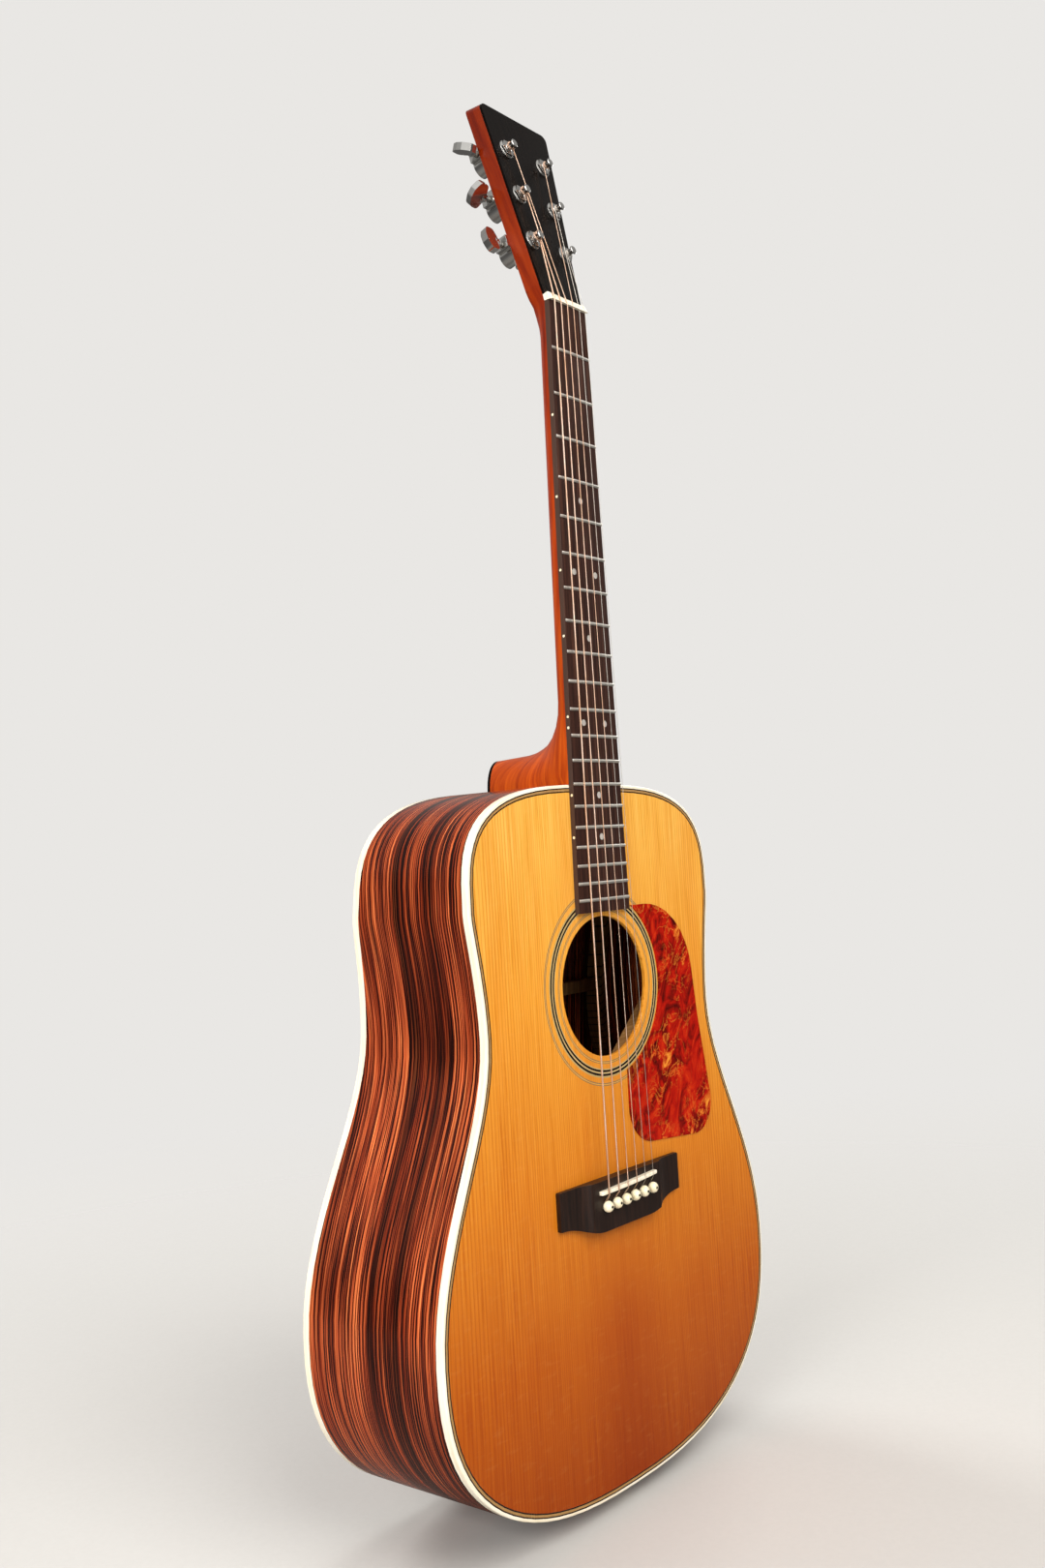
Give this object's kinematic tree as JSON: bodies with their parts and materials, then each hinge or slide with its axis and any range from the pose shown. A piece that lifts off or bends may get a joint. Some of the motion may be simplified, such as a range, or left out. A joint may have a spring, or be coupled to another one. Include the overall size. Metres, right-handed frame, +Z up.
{
  "type": "acoustic guitar",
  "caption": "Steel-string acoustic guitar with a hollow braced body, a bolt-on fretted neck, a pinned bridge and geared tuners that wind the strings.",
  "frame": {"origin": "on the middle plane, in the glue plane of the fingerboard, level with the flare of the head where the arms of a hanger take the weight", "axes": "+X to the treble side, +Y from the soundboard to the back, +Z up along the neck"},
  "size_m": [0.3878, 0.1435, 1.0308],
  "materials": {
    "soundboard": "amber gloss lacquer over straight spruce grain",
    "rosette": "inlaid rings, flush under lacquer",
    "purfling": "thin black and tan lines, flush under lacquer",
    "binding": "ivory-coloured, polished",
    "rosewood": "streaked red-brown wood under gloss lacquer",
    "marquetry": "let-in strip under gloss lacquer",
    "block_wood": "bare, planed",
    "brace_wood": "bare, planed",
    "neck_wood": "red-brown mahogany under lacquer",
    "ebony": "dense black wood, polished",
    "fingerboard": "dark oiled wood, open pores",
    "nickel": "polished plating",
    "plain_steel": "drawn, bright",
    "bronze": "wound wire",
    "pearl": "shell-like, flush",
    "bone": "polished bone",
    "pin_plastic": "cream, polished",
    "tortoise": "mottled red-brown, polished"
  },
  "bodies": {
    "guitar": {"soundboard": "soundboard", "rosette": "rosette", "top_purfling": "purfling", "top_binding": "binding", "side_bass": "rosewood", "side_treble": "rosewood", "back_bass_half": "rosewood", "back_treble_half": "rosewood", "back_center_strip": "marquetry", "back_binding": "binding", "tail_wedge": "binding", "neck_block": "block_wood", "tail_block": "block_wood", "top_linings": "brace_wood", "back_linings": "brace_wood", "x_brace_bass": "brace_wood", "x_brace_treble": "brace_wood", "top_braces": "brace_wood", "bridge_plate": "block_wood", "back_braces": "brace_wood", "neck": "neck_wood", "truss_rod": "plain_steel", "neck_bolts": "plain_steel", "heel_cap": "ebony", "headstock": "neck_wood", "headstock_veneer": "ebony", "fingerboard": "fingerboard", "frets": "nickel", "position_markers": "pearl", "nut": "bone", "bridge": "ebony", "saddle": "bone", "bridge_pins": "pin_plastic", "pickguard": "tortoise", "end_pin": "ebony", "wound_strings": "bronze", "plain_strings": "plain_steel", "tuner_housings": "nickel", "tuner_covers": "nickel", "tuner_bushings": "nickel", "tuner_screws": "nickel"},
    "tuner_1_key": {"tuner_1_button": "nickel", "tuner_1_worm": "nickel"},
    "tuner_1_spindle": {"tuner_1_post": "nickel"},
    "tuner_2_key": {"tuner_2_button": "nickel", "tuner_2_worm": "nickel"},
    "tuner_2_spindle": {"tuner_2_post": "nickel"},
    "tuner_3_key": {"tuner_3_button": "nickel", "tuner_3_worm": "nickel"},
    "tuner_3_spindle": {"tuner_3_post": "nickel"},
    "tuner_4_key": {"tuner_4_button": "nickel", "tuner_4_worm": "nickel"},
    "tuner_4_spindle": {"tuner_4_post": "nickel"},
    "tuner_5_key": {"tuner_5_button": "nickel", "tuner_5_worm": "nickel"},
    "tuner_5_spindle": {"tuner_5_post": "nickel"},
    "tuner_6_key": {"tuner_6_button": "nickel", "tuner_6_worm": "nickel"},
    "tuner_6_spindle": {"tuner_6_post": "nickel"}
  },
  "joints": [
    {"name": "tuner_1_turn", "type": "hinge", "parent": "guitar", "child": "tuner_1_key", "pos_m": [0.0198, 0.03209, 0.03614], "axis": [1, 0, 0], "continuous": true},
    {"name": "tuner_1_wind", "type": "hinge", "parent": "guitar", "child": "tuner_1_spindle", "pos_m": [0.0198, 0.01163, 0.03442], "axis": [0, 0.9724, -0.2334], "continuous": true},
    {"name": "tuner_2_turn", "type": "hinge", "parent": "guitar", "child": "tuner_2_key", "pos_m": [0.0207, 0.04115, 0.07387], "axis": [1, 0, 0], "continuous": true},
    {"name": "tuner_2_wind", "type": "hinge", "parent": "guitar", "child": "tuner_2_spindle", "pos_m": [0.0207, 0.02068, 0.07215], "axis": [0, 0.9724, -0.2334], "continuous": true},
    {"name": "tuner_3_turn", "type": "hinge", "parent": "guitar", "child": "tuner_3_key", "pos_m": [0.0216, 0.05021, 0.1116], "axis": [1, 0, 0], "continuous": true},
    {"name": "tuner_3_wind", "type": "hinge", "parent": "guitar", "child": "tuner_3_spindle", "pos_m": [0.0216, 0.02974, 0.10988], "axis": [0, 0.9724, -0.2334], "continuous": true},
    {"name": "tuner_4_turn", "type": "hinge", "parent": "guitar", "child": "tuner_4_key", "pos_m": [-0.0216, 0.05021, 0.1116], "axis": [1, 0, 0], "continuous": true},
    {"name": "tuner_4_wind", "type": "hinge", "parent": "guitar", "child": "tuner_4_spindle", "pos_m": [-0.0216, 0.02974, 0.10988], "axis": [0, 0.9724, -0.2334], "continuous": true},
    {"name": "tuner_5_turn", "type": "hinge", "parent": "guitar", "child": "tuner_5_key", "pos_m": [-0.0207, 0.04115, 0.07387], "axis": [1, 0, 0], "continuous": true},
    {"name": "tuner_5_wind", "type": "hinge", "parent": "guitar", "child": "tuner_5_spindle", "pos_m": [-0.0207, 0.02068, 0.07215], "axis": [0, 0.9724, -0.2334], "continuous": true},
    {"name": "tuner_6_turn", "type": "hinge", "parent": "guitar", "child": "tuner_6_key", "pos_m": [-0.0198, 0.03209, 0.03614], "axis": [1, 0, 0], "continuous": true},
    {"name": "tuner_6_wind", "type": "hinge", "parent": "guitar", "child": "tuner_6_spindle", "pos_m": [-0.0198, 0.01163, 0.03442], "axis": [0, 0.9724, -0.2334], "continuous": true}
  ],
  "couplings": [
    {"joint": "tuner_1_wind", "follows": "tuner_1_turn", "ratio": 0.071429},
    {"joint": "tuner_2_wind", "follows": "tuner_2_turn", "ratio": 0.071429},
    {"joint": "tuner_3_wind", "follows": "tuner_3_turn", "ratio": 0.071429},
    {"joint": "tuner_4_wind", "follows": "tuner_4_turn", "ratio": -0.071429},
    {"joint": "tuner_5_wind", "follows": "tuner_5_turn", "ratio": -0.071429},
    {"joint": "tuner_6_wind", "follows": "tuner_6_turn", "ratio": -0.071429}
  ]
}
